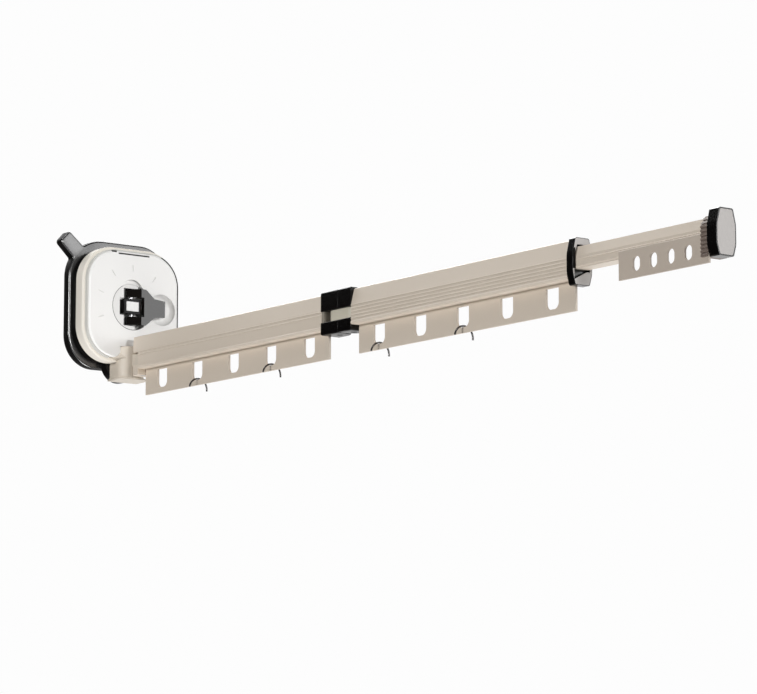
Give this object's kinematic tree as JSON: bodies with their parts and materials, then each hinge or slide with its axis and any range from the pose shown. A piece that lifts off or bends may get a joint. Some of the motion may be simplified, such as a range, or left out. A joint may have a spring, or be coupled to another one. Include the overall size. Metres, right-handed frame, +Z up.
{
  "type": "suction cup clothes rail",
  "caption": "Lever suction base carrying a swivelling, folding, telescopic hanger rail with slotted hanging strips and wire hooks.",
  "frame": {"origin": "where the pull stud's axis meets the wall, on the plane of the pad's sealing lip", "axes": "+Y into the wall, the rail runs along -Y, +Z up, +X to the right seen from the room"},
  "size_m": [0.1199, 0.8585, 0.1625],
  "materials": {
    "pad_rubber": "satin",
    "black_plastic": "satin",
    "lever_plastic": "gloss",
    "cream_plastic": "matt",
    "core_plastic": "matt",
    "white_plastic": "satin",
    "rail_paint": "satin powder coat",
    "pin_steel": "satin",
    "hook_chrome": "bright",
    "cap_face": "matt",
    "elbow_plastic": "satin",
    "neck_plastic": "satin"
  },
  "bodies": {
    "base": {"suction_pad": "pad_rubber", "pressure_ring": "black_plastic", "housing": "cream_plastic", "face_plate": "white_plastic", "housing_screws": "pin_steel", "arm_bracket": "cream_plastic", "swivel_pin": "pin_steel"},
    "plunger": {"pad_membrane": "pad_rubber", "plunger_plate": "black_plastic", "pull_stud": "black_plastic", "stud_cap": "white_plastic", "lever_pin": "pin_steel", "return_spring": "pin_steel"},
    "lever": {"cam_lever": "lever_plastic"},
    "arm_inner": {"swivel_fork": "rail_paint", "inner_rail": "rail_paint", "inner_strip": "rail_paint", "inner_elbow_core": "core_plastic", "inner_elbow_top": "elbow_plastic", "inner_elbow_bottom": "elbow_plastic"},
    "link": {"elbow_link": "cream_plastic", "elbow_pins": "pin_steel"},
    "arm_outer": {"outer_elbow_core": "core_plastic", "outer_elbow_top": "elbow_plastic", "outer_elbow_bottom": "elbow_plastic", "outer_rail": "rail_paint", "outer_strip": "rail_paint", "end_collar": "black_plastic", "end_collar_face": "cap_face"},
    "slider": {"sliding_tube": "rail_paint", "slide_shoe": "black_plastic", "tube_strip": "rail_paint", "ribbed_neck": "neck_plastic", "end_cap": "black_plastic", "end_cap_face": "cap_face"},
    "hook_1": {"hanger_hook_1": "hook_chrome"},
    "hook_2": {"hanger_hook_2": "hook_chrome"},
    "hook_3": {"hanger_hook_3": "hook_chrome"},
    "hook_4": {"hanger_hook_4": "hook_chrome"}
  },
  "joints": [
    {"name": "plunger_slide", "type": "slide", "parent": "base", "child": "plunger", "axis": [0, 1, 0], "range_m": [0, 0.004], "deforming": ["return_spring"]},
    {"name": "lever_turn", "type": "hinge", "parent": "plunger", "child": "lever", "pos_m": [0, -0.0335, 0], "axis": [0, 0, -1], "range_deg": [0, 90]},
    {"name": "swivel", "type": "hinge", "parent": "base", "child": "arm_inner", "pos_m": [0, -0.056, -0.05], "axis": [0, 0, -1], "range_deg": [-90, 90]},
    {"name": "elbow_inner", "type": "hinge", "parent": "arm_inner", "child": "link", "pos_m": [0, -0.3684, -0.05], "axis": [0, 0, 1], "range_deg": [0, 90]},
    {"name": "elbow_outer", "type": "hinge", "parent": "link", "child": "arm_outer", "pos_m": [0, -0.3892, -0.05], "axis": [0, 0, 1], "range_deg": [0, 90]},
    {"name": "tube_slide", "type": "slide", "parent": "arm_outer", "child": "slider", "axis": [0, 1, 0], "range_m": [0, 0.0525]},
    {"name": "hook_1_swing", "type": "hinge", "parent": "arm_inner", "child": "hook_1", "pos_m": [0, -0.1489, -0.0811], "axis": [1, 0, 0], "range_deg": [-60, 60]},
    {"name": "hook_2_swing", "type": "hinge", "parent": "arm_inner", "child": "hook_2", "pos_m": [0, -0.2661, -0.0811], "axis": [1, 0, 0], "range_deg": [-60, 60]},
    {"name": "hook_3_swing", "type": "hinge", "parent": "arm_outer", "child": "hook_3", "pos_m": [0, -0.4263, -0.0811], "axis": [1, 0, 0], "range_deg": [-60, 60]},
    {"name": "hook_4_swing", "type": "hinge", "parent": "arm_outer", "child": "hook_4", "pos_m": [0, -0.5411, -0.0811], "axis": [1, 0, 0], "range_deg": [-60, 60]}
  ],
  "couplings": [
    {"joint": "plunger_slide", "follows": "lever_turn", "m_per_rad": 0.0025464}
  ]
}
